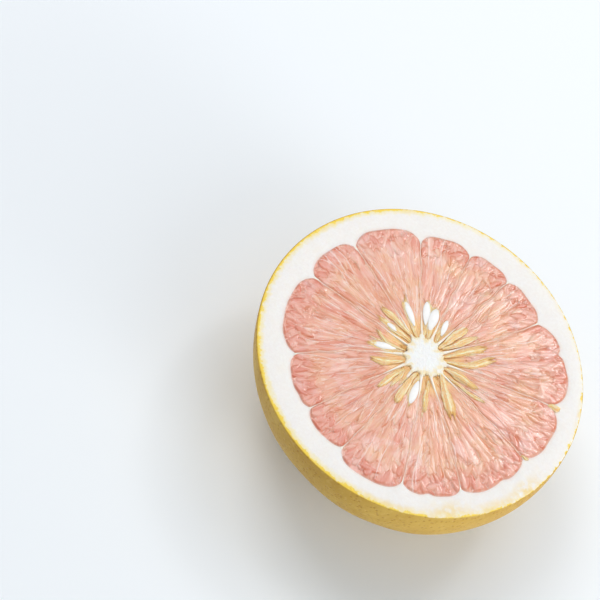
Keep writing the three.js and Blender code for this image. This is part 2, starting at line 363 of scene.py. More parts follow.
def peel_finish():
    """Yellow rind with sunken oil glands, and white pith wherever the cut or the inside shows."""
    f = Finish("peel")
    # the rind: clouded yellow, with a darker dot over every gland, and a few freckles
    gland = f.cells(GLAND_SPACING, randomness=0.9).step(0.42, 0.12)
    wide_gland = f.cells(WIDE_SPACING).step(0.2, 0.06)
    weather = f.noise(0.03, 4, 0.6)
    yellow = f.mix(weather.step(0.35, 0.7), GOLD, STRAW)
    yellow = f.mix(f.noise(0.011, 3).step(0.5, 0.78) * 0.4, yellow, OCHRE)
    yellow = f.mix(gland * 0.5 + wide_gland * 0.2, yellow, GLAND_BROWN)
    yellow = f.mix(f.noise(0.0018, 2).step(0.52, 0.7) * 0.3, yellow, GLAND_RIM)
    freckle = f.cells(FRECKLE_SPACING).step(0.1, 0.02) * f.noise(0.018, 2).step(0.44, 0.56)
    scattered = f.noise(0.0045, 2).step(0.46, 0.62)
    rind = f.mix(freckle * scattered * 0.7, yellow, FRECKLE_BROWN)
    # the scar at its lowest point
    pole = (AXIS_X / 1000, AXIS_Y / 1000, 0)
    from_pole = f.node("VectorMath", {0: f.place(), 1: pole}, 1, operation="DISTANCE") * 1000
    ragged = from_pole + f.noise(0.002, 3) * 2.4 - 1.2
    rind = f.mix(ragged.step(SCAR_R + 1.6, SCAR_R) * 0.6, rind, SCAR_RING)
    rind = f.mix(ragged.step(SCAR_R + 0.7, SCAR_R - 1.2) * 0.8, rind, SCAR_BROWN)
    # the pith, faintly pink beside the pulp, and stained where juice and oil ran over it
    sponge = f.noise(0.0012, 4, 0.6)
    pith = f.mix(sponge.step(0.3, 0.75), PITH_WHITE, PITH_BRIGHT)
    pith = f.mix(f.noise(0.009, 3).step(0.5, 0.8) * 0.3, pith, PITH_CREAM)
    depth, line, stain = f.painted("skin_depth"), f.painted("rim_line"), f.painted("stain")
    teeth = f.noise(0.0034, 2, 0.6) * 4.4 + f.noise(0.0011, 2) * 1.2 - 2.8
    into_pith = depth + teeth - line
    blush = f.noise(0.004, 3).step(0.3, 0.6)
    pith = f.mix(f.painted("to_pulp").step(1.9, 0.1) * blush * 0.6, pith, PITH_PINK)
    pith = f.mix((stain * blush).math("MINIMUM", 1.0), pith, JUICE_STAIN)
    pith = f.mix(into_pith.step(2.8, 0.0) * line.step(0.2, 1.7) * 0.75, pith, OIL_STAIN)
    # the ragged edge of the rind where it was cut through
    cut_rind = f.mix(depth.step(0.2, 0.7), rind, CUT_YELLOW)
    paler = into_pith.step(-0.9, 0.2) * depth.step(0.1, 0.5) * 0.6
    cut_rind = f.mix(paler, cut_rind, FRAYED_YELLOW)
    is_rind = into_pith.step(0.35, -0.25).math("MAXIMUM", depth.step(0.45, 0.2))
    wax = f.bump(0 - gland - wide_gland * 0.4, GLAND_DEPTH, 0.9)
    wax = f.bump(f.noise(0.0009, 3), WAX_DEPTH, 0.5, wax)
    fluff = f.bump(sponge + f.noise(0.0035, 3) * 1.2, SPONGE_DEPTH, 0.5)
    normal = f.node("Mix", {0: is_rind, 4: fluff, 5: wax}, 1, data_type="VECTOR")
    return f.set(Base_Color=f.mix(is_rind, pith, cut_rind), Roughness=0.75 - is_rind * 0.25,
                 Specular_IOR_Level=0.25, Normal=normal, Subsurface_Weight=0.12,
                 Subsurface_Scale=0.002, Subsurface_Radius=(1.0, 0.8, 0.5))


add_piece(peel_mesh(), "rind_and_pith", peel_finish(), "peel")


# ==== The segments ===============================================================================
# Wedges of juice sacs, each in its own thin membrane. The knife has opened them, so every one
# shows its sacs: slim drops that fan out from the core, and plump round ones at the outer end,
# wet, a little raised, with pale skins between them.

INNER_END = 9.0  # where the segments start, under the edge of the core
WALL_TUCK = 0.08  # how far a segment's top edge is tucked into the membrane and into the pith
UNDER_GAP = 0.2  # how far its body under the face keeps from its neighbours
BORDER = -0.01  # the height of the top edge
SWAY = 1.0  # degrees by which a membrane wanders from its straight line
POCKET_DEPTH = 0.8  # how far the pulp sinks where the seeds lie
POCKET_R, POCKET_WIDTH = 25, 13  # that hollow starts this far out, and deepens inwards over this
HIGHEST_SAC = 0.85  # no sac stands higher over the cut, or lies deeper under it
UNDER_LEVELS = (1.5, 7, 18, 32, 46)  # how far down the rings of a segment's body lie
RIPENESS = (0.3, 0.25, 0.1, 0.1, 0.35, 0.6, 0.85, 0.9, 0.85, 0.6, 0.55, 0.4, 0.3)  # of each segment
PEACH = (0.4, 0.45, 0.1, 0.2, 0.3, 0.5, 0.5, 0.5, 0.4, 0.7, 0.8, 1.0, 0.4)  # its leaning to orange
SLIM, PLUMP, SKIN_STRAND = 0, 1, 2  # the kinds of sac, the last a bare strand of skin
PER_DEGREE = (2.8, 2.2, 0.28)  # how many of each kind a segment has for a degree of its spread
SLIM_LENGTH, SLIM_WIDTH = (6, 16), (0.8, 2.4)  # half of each, at the segment's outer end
PLUMP_LENGTH, PLUMP_WIDTH = (2.4, 5.4), (1.1, 2.3)
STRAND_WIDTH = (0.24, 0.6)
SAC_RISE = (0.14, 0.3)  # how high a slim and a plump sac bulge, for each millimetre of half width
STRAND_RISE = 0.12
PLUMP_TINTS = (0.1, 0.35, 0.6, 0.75)
DARK_SHARE, DARK_TINT = 0.09, 0.08  # of the slim sacs
TYPICAL_SPREAD = np.radians(26)  # of a segment
GRAIN_ACROSS, GRAIN_ALONG = 40, 14  # how the flesh's pattern is drawn out along the sacs


def wall_direction(k, v):
    """The direction in which membrane k runs at `v` along it, in degrees. It sways a little."""
    inner, outer, *_ = WALLS[k % len(WALLS)]
    sway = ripple(v * 5, 60 + k % len(WALLS), 1, 5, SWAY) * np.sin(np.pi * np.clip(v, 0, 1))
    return inner + (outer - inner) * v + sway


def segment_place(k, u, v, level=0.0):
    """A place in segment k: `u` across it, `v` along it, `level` below the cut."""
    start, end = wall_direction(k, v), wall_direction(k + 1, v)
    end = np.where(end < start, end + 360, end)
    shrink = math.sqrt(max(0.0, 1 - (level / PULP_DEPTH) ** 2))
    tuck = WALL_TUCK if level == 0 else -UNDER_GAP
    r = INNER_END + (edge_radius(k, u) * shrink + tuck - INNER_END) * v
    width = np.radians(end - start) * r
    room = 1 + 2 * tuck / np.maximum(width, 1)
    angle = np.radians((start + end) / 2 + (end - start) * (u - 0.5) * room)
    return r * np.cos(angle), r * np.sin(angle), r


def smooth(value, low, high):
    """0 below `low`, 1 above `high`, and smooth between."""
    t = np.clip((value - low) / (high - low), 0, 1)
    return t * t * (3 - 2 * t)


def lay_sacs(k, x, y, r, rng):
    """Lays drop-shaped sacs over segment k's face, and pale strands of skin between them. Gives at
    each point the height of the topmost sac, that sac's own tint with painted light and shade
    across it, how near the point is to its skin, how deep a crease it is in, and how much of a
    strand covers it."""
    first, second = walls_of(k)
    top, under = np.full(x.shape, -0.12), np.full(x.shape, -0.7)
    tint, skin, strand = np.full(x.shape, 0.5), np.zeros(x.shape), np.zeros(x.shape)
    spread = second[1] - first[1]
    sweep, sweep_turn = rng.normal(0, 0.10), rng.uniform(0, 2 * math.pi)
    kinds = [kind for kind, share in enumerate(PER_DEGREE) for _ in range(int(spread * share))]
    for kind in kinds:
        u = rng.uniform(-0.02, 1.02)
        v = rng.uniform(0.8, 1.0) if kind == PLUMP else rng.uniform(0.05, 0.88) ** 0.85
        cx, cy, cr = (float(c[0]) for c in segment_place(k, np.array([u]), np.array([v])))
        lean = rng.normal(0, 0.08) + (u - 0.5) * 0.3 * v + sweep * math.sin(3 * v + sweep_turn)
        if kind == PLUMP:
            half_length, half_width = rng.uniform(*PLUMP_LENGTH), rng.uniform(*PLUMP_WIDTH)
            lean = rng.normal(0, 0.5) + (u - 0.5) * 0.8
            lift = rng.uniform(-0.15, 0.2)
        else:
            half_length, half_width = rng.uniform(*SLIM_LENGTH), rng.uniform(*SLIM_WIDTH)
            half_length *= 0.45 + 0.6 * v
            half_width *= 0.25 + cr / 58
            lift = rng.uniform(-0.1, 0.1)
        if kind == SKIN_STRAND:
            half_width = rng.uniform(*STRAND_WIDTH)
        heading = math.atan2(cy, cx) + lean
        curve = rng.normal(0, 0.012)
        ahead = (x - cx) * math.cos(heading) + (y - cy) * math.sin(heading)
        aside = (y - cy) * math.cos(heading) - (x - cx) * math.sin(heading) + curve * ahead ** 2
        s = np.clip(ahead / half_length, -1, 1)
        girth = half_width * (1 - s * s) ** 0.7 * (1 + 0.4 * s) + 1e-3
        bulge = np.clip(1 - (aside / girth) ** 2, -3, 1)
        if kind == SKIN_STRAND:
            cover = smooth(bulge, 0.0, 0.8)
            strand = np.maximum(strand, cover)
            top = top + STRAND_RISE * cover
            continue
        swell = np.where(bulge > 0, np.maximum(bulge, 0) ** 0.8, bulge)
        height = lift + SAC_RISE[kind] * half_width * swell
        above = smooth(height - top, -0.08, 0.08)
        under = np.where(height > top, top, np.maximum(under, height))
        top = np.maximum(top, height)
        own = rng.choice(PLUMP_TINTS) if kind == PLUMP else 0.52 + rng.normal(0, 0.15)
        if kind == SLIM and rng.random() < DARK_SHARE:
            own = DARK_TINT
        # painted light and shade: each sac a little lighter at one side and darker at the other, as
        # light through a glassy drop looks
        painted_light_across = 0.2 * rng.choice((-1, 1)) * np.clip(aside / girth, -1, 1)
        tint = tint + (np.clip(own + painted_light_across, 0, 1) - tint) * above
        skin = skin + (1 - smooth(bulge, 0.0, 0.5) - skin) * above
    return top, tint, skin, 1 - smooth(top - under, 0.0, 0.09), strand


def put_in_order(parts, place):
    """Numbers a mesh's points or faces by their place, so that every run gives the same list."""
    rank = {part: i for i, part in enumerate(sorted(parts, key=place))}
    parts.sort(key=rank.get)


def segment_mesh(k, columns=102, rows=216):
    """Segment k as one closed body: its relief of sacs on top, and a plain wedge under that."""
    rng = np.random.default_rng(500 + k)
    bm = bmesh.new()
    bmesh.ops.create_grid(bm, x_segments=columns, y_segments=rows, size=0.5)
    names = ("tint", "skin", "crease", "strand", "outward", "across", "pocket", "wall", "end",
             "ripe", "peach")
    layers = {name: bm.verts.layers.float.new(name) for name in names}
    grain = bm.verts.layers.float_vector.new("grain")
    face = list(bm.verts)
    u = np.array([p.co.x + 0.5 for p in face])
    v = np.array([p.co.y + 0.5 for p in face])
    x, y, r = segment_place(k, u, v)
    top, tint, skin, crease, strand = lay_sacs(k, x, y, r, rng)
    cut = HIGHEST_SAC * np.tanh(top / HIGHEST_SAC)
    side = np.minimum(u, 1 - u) * TYPICAL_SPREAD * r
    end = (1 - v) * (edge_radius(k, u) - INNER_END)
    shoulder = (0.2 + 0.8 * smooth(side, 0.1, 1.1)) * smooth(end, -0.1, 1.3)
    pocket = np.clip((POCKET_R - r) / POCKET_WIDTH, 0, 1) ** 1.2
    z = BORDER + (cut - BORDER) * shoulder * (1 - 0.4 * pocket) - POCKET_DEPTH * pocket
    middle = math.radians(sum(w[0] for w in walls_of(k)) / 2)
    turned = (np.arctan2(y, x) - middle + np.pi) % (2 * np.pi) - np.pi
    ripe, peach = np.full(u.shape, RIPENESS[k]), np.full(u.shape, PEACH[k])
    values_here = (tint, skin, crease, strand, v, u, pocket, side, end, ripe, peach)
    for i, p in enumerate(face):
        p.co = (x[i], y[i], z[i])
        for name, values in zip(names, values_here):
            p[layers[name]] = values[i]
        p[grain] = (turned[i] * GRAIN_ACROSS, r[i] / GRAIN_ALONG, k * 7.0)
    ring = [e for e in bm.edges if e.is_boundary]
    for level in UNDER_LEVELS:
        walls = bmesh.ops.extrude_edge_only(bm, edges=ring)["geom"]
        lower = [g for g in walls if isinstance(g, bmesh.types.BMVert)]
        u = np.array([p[layers["across"]] for p in lower])
        v = np.array([p[layers["outward"]] for p in lower])
        x, y, _ = segment_place(k, u, v, level)
        for i, p in enumerate(lower):
            p.co = (x[i], y[i], min(p.co.z, -level - 0.55))
        ring = [g for g in walls if isinstance(g, bmesh.types.BMEdge) and g.is_boundary]
    bmesh.ops.holes_fill(bm, edges=ring, sides=0)
    put_in_order(bm.verts, lambda p: p.co.to_tuple())
    put_in_order(bm.faces, lambda face: face.calc_center_median().to_tuple())
    return bm


SAC_TONES = [  # of the sacs, from the darkest tint to the lightest
    (0.0, colour(214, 116, 76)),
    (0.25, colour(220, 142, 114)),
    (0.55, colour(228, 171, 147)),
    (0.85, colour(235, 188, 166)),
    (1.0, colour(231, 166, 126)),
]
AMBER, PALE_AMBER = colour(222, 158, 108), colour(234, 188, 140)
RED_FLESH, ROSE_FLESH = colour(213, 116, 92), colour(230, 158, 136)
LILAC_SHEEN = colour(241, 206, 200)
DARK_STREAK, PALE_STREAK = colour(226, 146, 108), colour(247, 212, 194)
CREASE_SHADE_AMBER, CREASE_SHADE_RED = colour(226, 134, 88), colour(220, 110, 80)
SAC_SKIN, STRAND_SKIN_AND_SHEEN = colour(252, 226, 214), colour(250, 230, 222)
DARK_THREAD, PALE_THREAD = colour(218, 134, 96), colour(253, 234, 224)
PALE_HAIR, DARK_HAIR = colour(252, 228, 214), colour(220, 136, 104)
SHADE_BESIDE_WALL, WALL_SKIN, END_SKIN_AND_LIGHT = colour(222, 136, 104), colour(248, 216, 198), colour(248, 214, 200)
POCKET_OCHRE, POCKET_CREAM = colour(236, 168, 88), colour(253, 218, 154)
WET_DEPTH = 0.0004


def pulp_finish():
    """Wet, translucent salmon-pink flesh: every sac a tint of its own, with pale skins between."""
    f = Finish("pulp")
    wander = f.noise(0.007, 2, output="Color")
    grain = f.node("VectorMath", {0: f.painted("grain", "Vector"), 1: wander}, operation="ADD")
    tint, skin, crease = f.painted("tint"), f.painted("skin"), f.painted("crease")
    outward, pocket, strand = f.painted("outward"), f.painted("pocket"), f.painted("strand")
    ripe, peach = f.painted("ripe"), f.painted("peach")
    wall, end = f.painted("wall"), f.painted("end")
    # the flesh: amber nearer the seeds and in clouds, redder at its outer end, with a painted lilac
    # sheen in pale clouds
    flesh = f.node("ValToRGB", {0: tint}, stops=SAC_TONES)
    amber = f.mix(tint, AMBER, PALE_AMBER)
    clouds = (f.noise(0.014, 2) + peach * 0.16).step(0.46, 0.66) * (1 - outward.step(0.76, 0.92))
    near_seeds = outward.step(0.5, 0.2) * (0.35 + peach * 0.5)
    flesh = f.mix((clouds * 0.75).math("MAXIMUM", near_seeds), flesh, amber)
    deep = f.mix(tint, RED_FLESH, ROSE_FLESH)
    flesh = f.mix((outward.step(0.78, 0.96) * 0.4 + ripe * 0.4).math("MINIMUM", 1.0), flesh, deep)
    # painted sheen: pale lilac clouds standing for the sky's reflection on the wet flesh
    flesh = f.mix(f.noise(0.011, 2).step(0.52, 0.68) * 0.4, flesh, LILAC_SHEEN)
    # streaks along the sacs, painted shade in the creases between two of them, and the sacs' pale
    # skins
    inner = 1 - outward.step(0.7, 0.92) * 0.75
    streaks = f.noise(2.1, 2, 0.5, grain)
    flesh = f.mix(streaks.step(0.5, 0.68) * inner * 0.45, flesh, DARK_STREAK)
    flesh = f.mix(streaks.step(0.46, 0.3) * inner * 0.38, flesh, PALE_STREAK)
    # painted shade: darker amber to red in the creases where two sacs meet
    flesh = f.mix(crease * 0.36, flesh, f.mix(ripe, CREASE_SHADE_AMBER, CREASE_SHADE_RED))
    in_places = f.noise(0.0045, 2).step(0.4, 0.55)
    flesh = f.mix(skin * in_places * (1 - crease) * 0.45, flesh, SAC_SKIN)
    # fine threads and hairs
    threads = f.noise(1.5, 1, 0.4, grain)
    here = f.noise(0.006, 2)
    dark_thread = threads.line_at(0.58, 0.06) * here.step(0.4, 0.55)
    pale_thread = threads.line_at(0.49, 0.03) * here.step(0.6, 0.45)
    flesh = f.mix(dark_thread * inner * 0.42, flesh, DARK_THREAD)
    flesh = f.mix(pale_thread * inner * 0.45, flesh, PALE_THREAD)
    hairs = f.noise(0.3, 3, 0.6, grain)
    fine = outward.step(0.1, 0.5) * 0.1
    flesh = f.mix(hairs.step(0.5, 0.75) * fine, flesh, PALE_HAIR)
    flesh = f.mix(hairs.step(0.48, 0.28) * fine, flesh, DARK_HAIR)
    # pale strands of skin, also painted as streaks of sheen on the wet flesh
    flesh = f.mix(strand * 0.45, flesh, STRAND_SKIN_AND_SHEEN)
    # the borders: painted shade beside each membrane, its pale skin, and a pale skin at the round end
    # that is also painted light over the groove there; and the golden floor under the seeds
    # painted shade: a darker band in the pulp beside each membrane
    flesh = f.mix(wall.step(0.9, 0.3) * 0.22, flesh, SHADE_BESIDE_WALL)
    at_rim = outward.step(0.7, 0.95)
    flesh = f.mix(wall.step(0.4, 0.2) * (0.4 + at_rim * 0.3), flesh, WALL_SKIN)
    # pale skin at a segment's round end, painted paler as well to light the groove where the pulp
    # meets the pith
    flesh = f.mix(end.step(0.6, 0.0) * 0.6, flesh, END_SKIN_AND_LIGHT)
    fibres = f.noise(0.6, 3, 0.5, grain)
    ochre = f.mix(fibres.step(0.35, 0.65), POCKET_OCHRE, POCKET_CREAM)
    flesh = f.mix(pocket.step(0.02, 0.6) * 0.85, flesh, ochre)
    wet = f.bump(streaks + hairs * 0.3, WET_DEPTH, 0.4)
    return f.set(Base_Color=flesh, Roughness=0.3 + pocket * 0.15, Normal=wet,
                 Coat_Weight=0.8 - pocket * 0.5, Coat_Roughness=0.16, Subsurface_Weight=0.35,
                 Subsurface_Scale=0.002, Subsurface_Radius=(1.0, 0.45, 0.3), IOR=1.38)


pulp = pulp_finish()
for k in range(len(WALLS)):
    node = f"segment_{k + 1:02d}"
    add_piece(segment_mesh(k), node + "_sacs", pulp, node)


# ==== The core and the membranes =================================================================
# The fruit's white axis, soft and a little fluffy, drawn out into a point at each of the pale
# membranes that run from it between the segments. A membrane is a white sheet beside the seeds,
# as thin as paper further out, and stout again where it grows into the pith.

CORE_EDGE = [  # between the points: direction, how far out the core reaches
    (5, 11.2), (36, 10.2), (66, 8.8), (89, 9.6), (112, 9.4), (138, 10.2), (165, 9.0), (197, 8.2),
    (228, 8.9), (256, 8.4), (283, 8.6), (310, 9.2), (337, 11.2),
]
POINT = 5.5  # how much further the points reach
POINT_WIDTH = 4.5  # degrees in which a point thins to a third
FRAY = 0.4  # how uneven the core's edge is
CAP_HEIGHT, CAP_FALL = 0.5, 0.9  # of the core over the cut, and how far its edge droops
CAP_FLUFF = 0.1
NECK_R = 8.4  # the column under the cap
CORE_DEPTH = 50
MEMBRANE_START = 7.5  # inside the core
MEMBRANE_ROOT = 1.5  # how far a membrane runs on into the pith
HALF_WIDTH, GAIN_INSIDE = 0.46, 0.34  # half a membrane's width, and what it gains beside the core
CREST = 0.12  # how far its top stands over the cut
MEMBRANE_WAVE = 0.22
MEMBRANE_DEPTH = 6  # how far down its sides reach, and 2 more in the middle
FINE_WELD = 1e-4


def core_reach(degrees):
    """How far out the core's edge runs in a direction: hollow between its drawn-out points."""
    around, edge = zip(*CORE_EDGE)
    full_turn = (around[-1] - 360, *around, around[0] + 360)
    reach = np.interp(degrees % 360, full_turn, (edge[-1], *edge, edge[0]))
    for k, (inner, *_) in enumerate(WALLS):
        away = abs((degrees - inner + 180) % 360 - 180)
        reach = reach + POINT * (0.75 + 0.25 * math.sin(5 * k)) * np.exp(-away / POINT_WIDTH)
    return reach + ripple(np.radians(degrees), 31, 12, 70, FRAY)


def core_mesh(columns=540):
    """A low, fluffy cap with a drooping edge on a plain round column."""
    rows = [("cap", f) for f in np.linspace(0, 1, 44)]
    rows += [("side", d) for d in (0.5, 1.2, 2.2, 3.4)]
    rows += [("column", d) for d in (6, 12, 24, 38, CORE_DEPTH)]
    rows += [("end", f) for f in (0.5, 0)]
    bm = bmesh.new()
    bmesh.ops.create_grid(bm, x_segments=columns, y_segments=len(rows) - 1, size=0.5)
    rim = bm.verts.layers.float.new("rim")
    for p in bm.verts:
        angle = (p.co.x + 0.5) * 2 * math.pi
        kind, f = rows[round((p.co.y + 0.5) * (len(rows) - 1))]
        reach = float(core_reach(math.degrees(angle)))
        if kind == "cap":
            r = reach * f
            fall = min(1.0, (reach - r) / 1.1)
            droop = CAP_FALL * (1 - math.sqrt(1 - (1 - fall) ** 2))
            z = CAP_HEIGHT - 0.3 * (r / 11) ** 2 - droop
        elif kind == "side":
            r, z = reach - 0.35 * f, -0.7 - f
        elif kind == "column":
            r, z = min(NECK_R, reach - 1.2), -f
        else:
            r, z = NECK_R * f, -CORE_DEPTH
        where = Vector((r * math.cos(angle), r * math.sin(angle), z))
        if kind in ("cap", "side"):
            where.z += CAP_FLUFF * fractal(where * 0.9, 0.8, 2.1, 4)
        p.co = where
        p[rim] = f if kind == "cap" else 1
    bmesh.ops.remove_doubles(bm, verts=bm.verts, dist=WELD)
    return bm


def gather(one, bm):
    """Adds the mesh `one` to `bm`."""
    bmesh.ops.recalc_face_normals(one, faces=one.faces)
    parcel = bpy.data.meshes.new("parcel")
    one.to_mesh(parcel)
    one.free()
    bm.from_mesh(parcel)
    bpy.data.meshes.remove(parcel)


def membrane_mesh(steps=130, sides=10):
    """All the membranes: each an upright sheet with a rounded top, from the core to the pith."""
    bm = bmesh.new()
    for k, (*_, notch, _, _) in enumerate(WALLS):
        one = bmesh.new()
        bmesh.ops.create_grid(one, x_segments=steps, y_segments=sides, size=0.5)
        whiteness = one.verts.layers.float.new("whiteness")
        wide = 0.8 + 0.4 * math.sin(7 * k + 1)
        for p in one.verts:
            along, turn = p.co.x + 0.5, (p.co.y + 0.5) * 2 * math.pi
            r = MEMBRANE_START + (notch + MEMBRANE_ROOT - MEMBRANE_START) * along
            v = max(0.0, (r - INNER_END) / (notch - INNER_END))
            fade = math.sin(math.pi * along)
            angle = math.radians(wall_direction(k, v))
            half = HALF_WIDTH + GAIN_INSIDE * wide * math.exp(-(((r - 9) / 8) ** 2))
            half += 0.5 * math.exp((r - notch - MEMBRANE_ROOT) / 2.5)
            crest = CREST + 0.1 * math.exp(-max(0, r - 22) / 7)
            crest += float(ripple(np.float64(r / 9), 80 + k, 1, 6, MEMBRANE_WAVE)) * fade
            crest -= 0.2 * math.exp(-(((r - 18) / 7) ** 2))
            deep = MEMBRANE_DEPTH + 2 * math.cos(turn / 2)
            flare = half * (1 + 0.25 * (0.5 - 0.5 * math.cos(turn)))
            side = flare * math.sin(turn)
            height = crest - deep * (0.5 - 0.5 * math.cos(turn)) ** 2
            p.co = (
                r * math.cos(angle) - side * math.sin(angle),
                r * math.sin(angle) + side * math.cos(angle),
                height,
            )
            p[whiteness] = math.exp(-max(0, r - 16) / 12) + math.exp((r - notch) / 4)
        bmesh.ops.remove_doubles(one, verts=one.verts, dist=FINE_WELD)
        bmesh.ops.holes_fill(one, edges=[e for e in one.edges if e.is_boundary], sides=0)
        gather(one, bm)
    return bm


CORE_WHITE, CORE_BRIGHT = colour(245, 243, 240), colour(250, 249, 247)
CORE_CREAM, CORE_GRAINS = colour(251, 238, 212), colour(247, 226, 180)
FLUFF_DEPTH = 0.00012
MEMBRANE_PINK, MEMBRANE_PALE = colour(240, 176, 146), colour(248, 206, 182)
MEMBRANE_WHITE = colour(251, 240, 224)


def core_finish():
    """Soft white tissue, with cream grains round its edge."""
    f = Finish("core")
    fluff, rim = f.noise(0.0012, 4, 0.6), f.painted("rim")
    white = f.mix(fluff.step(0.3, 0.7), CORE_WHITE, CORE_BRIGHT)
    white = f.mix(rim.step(0.6, 0.97) * 0.75, white, CORE_CREAM)
    grains = f.noise(0.0024, 3).step(0.46, 0.6) * rim.step(0.45, 0.85)
    white = f.mix(grains * 0.8, white, CORE_GRAINS)
    return f.set(Base_Color=white, Roughness=0.72, Normal=f.bump(fluff, FLUFF_DEPTH, 0.5),
                 Subsurface_Weight=0.2, Subsurface_Scale=0.002,
                 Subsurface_Radius=(1.0, 0.85, 0.6))


def membrane_finish():
    """Moist, thin skin: white beside the core, faintly pink further out, with threads along it."""
    f = Finish("membrane")
    threads = f.noise(0.0016, 3)
    tone = f.mix(threads.step(0.35, 0.7), MEMBRANE_PINK, MEMBRANE_PALE)
    tone = f.mix(f.painted("whiteness").step(0.2, 0.95), tone, MEMBRANE_WHITE)
    return f.set(Base_Color=tone, Roughness=0.4, Normal=f.bump(threads, 0.0002, 0.5),
                 Coat_Weight=0.2, Coat_Roughness=0.15, Subsurface_Weight=0.25,
                 Subsurface_Scale=0.0015, Subsurface_Radius=(1.0, 0.6, 0.45))


add_piece(core_mesh(), "core_axis", core_finish(), "core")
add_piece(membrane_mesh(), "membranes", membrane_finish(), "core")


# ==== The seeds ==================================================================================
# A ring of seeds round the core, each rooted beside it and pointing outwards. Most are whole, in a
# golden, wrinkled coat that is torn and browner at its tip. Some were cut through: a smooth white
# kernel lies open in what is left of the coat.

GOLDEN = [  # root, tip, width, where along it is widest, how torn its tip is
    ((10.8, 1.8), (30.2, 3.1), 4.0, 0.5, 0.3),
    ((13.0, -0.8), (36.6, -0.9), 2.3, 0.75, 0.3),
    ((11.3, -1.6), (27.6, -18.0), 6.0, 0.72, 1.0),
    ((8.6, -8.6), (15.6, -25.2), 3.2, 0.6, 0.4),
    ((2.2, -9.2), (2.5, -30.0), 4.6, 0.75, 0.5),
    ((-4.0, -11.6), (-8.9, -29.0), 3.6, 0.6, 0.3),
    ((-6.2, -8.4), (-19.6, -18.4), 4.2, 0.7, 0.5),
    ((-8.4, -3.0), (-25.2, -3.6), 2.6, 0.7, 0.4),
    ((-9.0, 5.4), (-30.0, 8.2), 3.9, 0.7, 0.6),
    ((3.4, 8.8), (8.9, 27.6), 5.2, 0.72, 0.3),
    ((5.2, 9.6), (15.6, 27.4), 3.8, 0.6, 0.2),
    ((8.0, 6.4), (21.8, 24.6), 4.2, 0.78, 0.8),
    ((9.2, 4.8), (28.0, 21.8), 4.4, 0.82, 1.0),
]
OPENED = [  # the coat's root, tip, width, widest place and tear; the kernel's root, tip, width
    ((-7.4, 6.8), (-24.6, 20.8), 4.4, 0.75, 0.8, (-12.0, 10.9), (-22.8, 19.2), 3.5),
    ((-5.6, 8.4), (-14.8, 28.6), 4.4, 0.7, 0.5, (-8.2, 15.0), (-14.3, 26.8), 3.9),
    ((-3.2, 8.8), (-8.9, 27.6), 5.4, 0.75, 0.3, (-5.1, 13.8), (-8.4, 26.6), 5.0),
    ((0.9, 9.6), (-0.9, 25.2), 3.2, 0.7, 0.3, (1.1, 15.3), (-0.9, 24.8), 2.9),
    ((-8.8, 2.6), (-28.4, 3.0), 4.6, 0.6, 1.0, (-16.4, 2.8), (-23.8, 3.0), 2.4),
    ((-8.8, -4.4), (-25.6, -11.8), 4.6, 0.75, 0.9, (-12.6, -5.6), (-23.4, -11.2), 3.5),
    ((3.8, -9.4), (8.6, -27.2), 4.4, 0.7, 0.7, (5.0, -12.6), (8.0, -26.0), 3.9),
]
STRANDS = [  # torn strips of coat between the seeds: root, tip, width
    ((-9.6, -4.0), (-26.6, -9.0), 1.5),
    ((-3.3, -11.0), (-4.4, -24.8), 2.4),
    ((10.2, -12.6), (16.4, -27.8), 1.6),
    ((-14.0, 21.6), (-16.6, 26.0), 1.0),
    ((15.6, 23.4), (17.8, 27.6), 1.1),
    ((12.6, 2.4), (24.4, 1.2), 1.5),
    ((13.2, 12.6), (20.4, 18.6), 1.6),
    ((-0.6, -12.0), (-1.4, -21.0), 1.3),
    ((-12.0, 6.2), (-24.0, 7.2), 1.2),
]
BURNT = [  # darker scraps in the hollows at the roots
    ((6.9, -6.6), (11.6, -13.6), 3.0),
    ((-7.8, -1.0), (-12.4, -2.6), 2.0),
    ((3.6, 10.6), (8.0, 12.4), 1.6),
    ((0.4, 10.6), (-1.8, 16.8), 1.3),
    ((1.4, -8.4), (3.8, -10.6), 1.4),
    ((-5.2, -9.6), (-4.2, -13.2), 1.2),
    ((10.8, -3.6), (12.0, -5.6), 1.0),
]
SPECKS = [  # golden scraps between the segments' round ends
    ((61.8, 19.4), (68.2, 21.3), 4.2, 0.6, 0.3),
    ((64.4, -12.6), (68.8, -12.2), 1.8, 0.5, 0.3),
]
FOLDS = ((4, 0.09), (7, 0.07), (11, 0.04))  # the wrinkles: how many in a turn, and how deep
FRILL = 0.06  # how far the torn edge juts, for each millimetre of the seed's length
WAVER = 0.18  # how far a seed wanders from its line
BEND = 0.04  # and how much it is bowed, for each millimetre of its length
# The levels of a coat at its root, a third of the way along and at its tip, over the cut, and its
# height for each millimetre of width.
WHOLE, SLICED = ((-0.4, 0.2, 0.3), 0.4), ((-0.6, -0.3, -0.2), 0.36)
TORN_STRIP, BURNT_SCRAP = ((-0.9, -0.1, 0.0), 0.5), ((-0.9, -0.6, -0.8), 0.4)
LOOSE_SCRAP = ((0.0, 0.3, 0.2), 0.5)
KERNEL_LEVEL, KERNEL_TILT, KERNEL_HEIGHT = 0.1, 0.15, 0.34


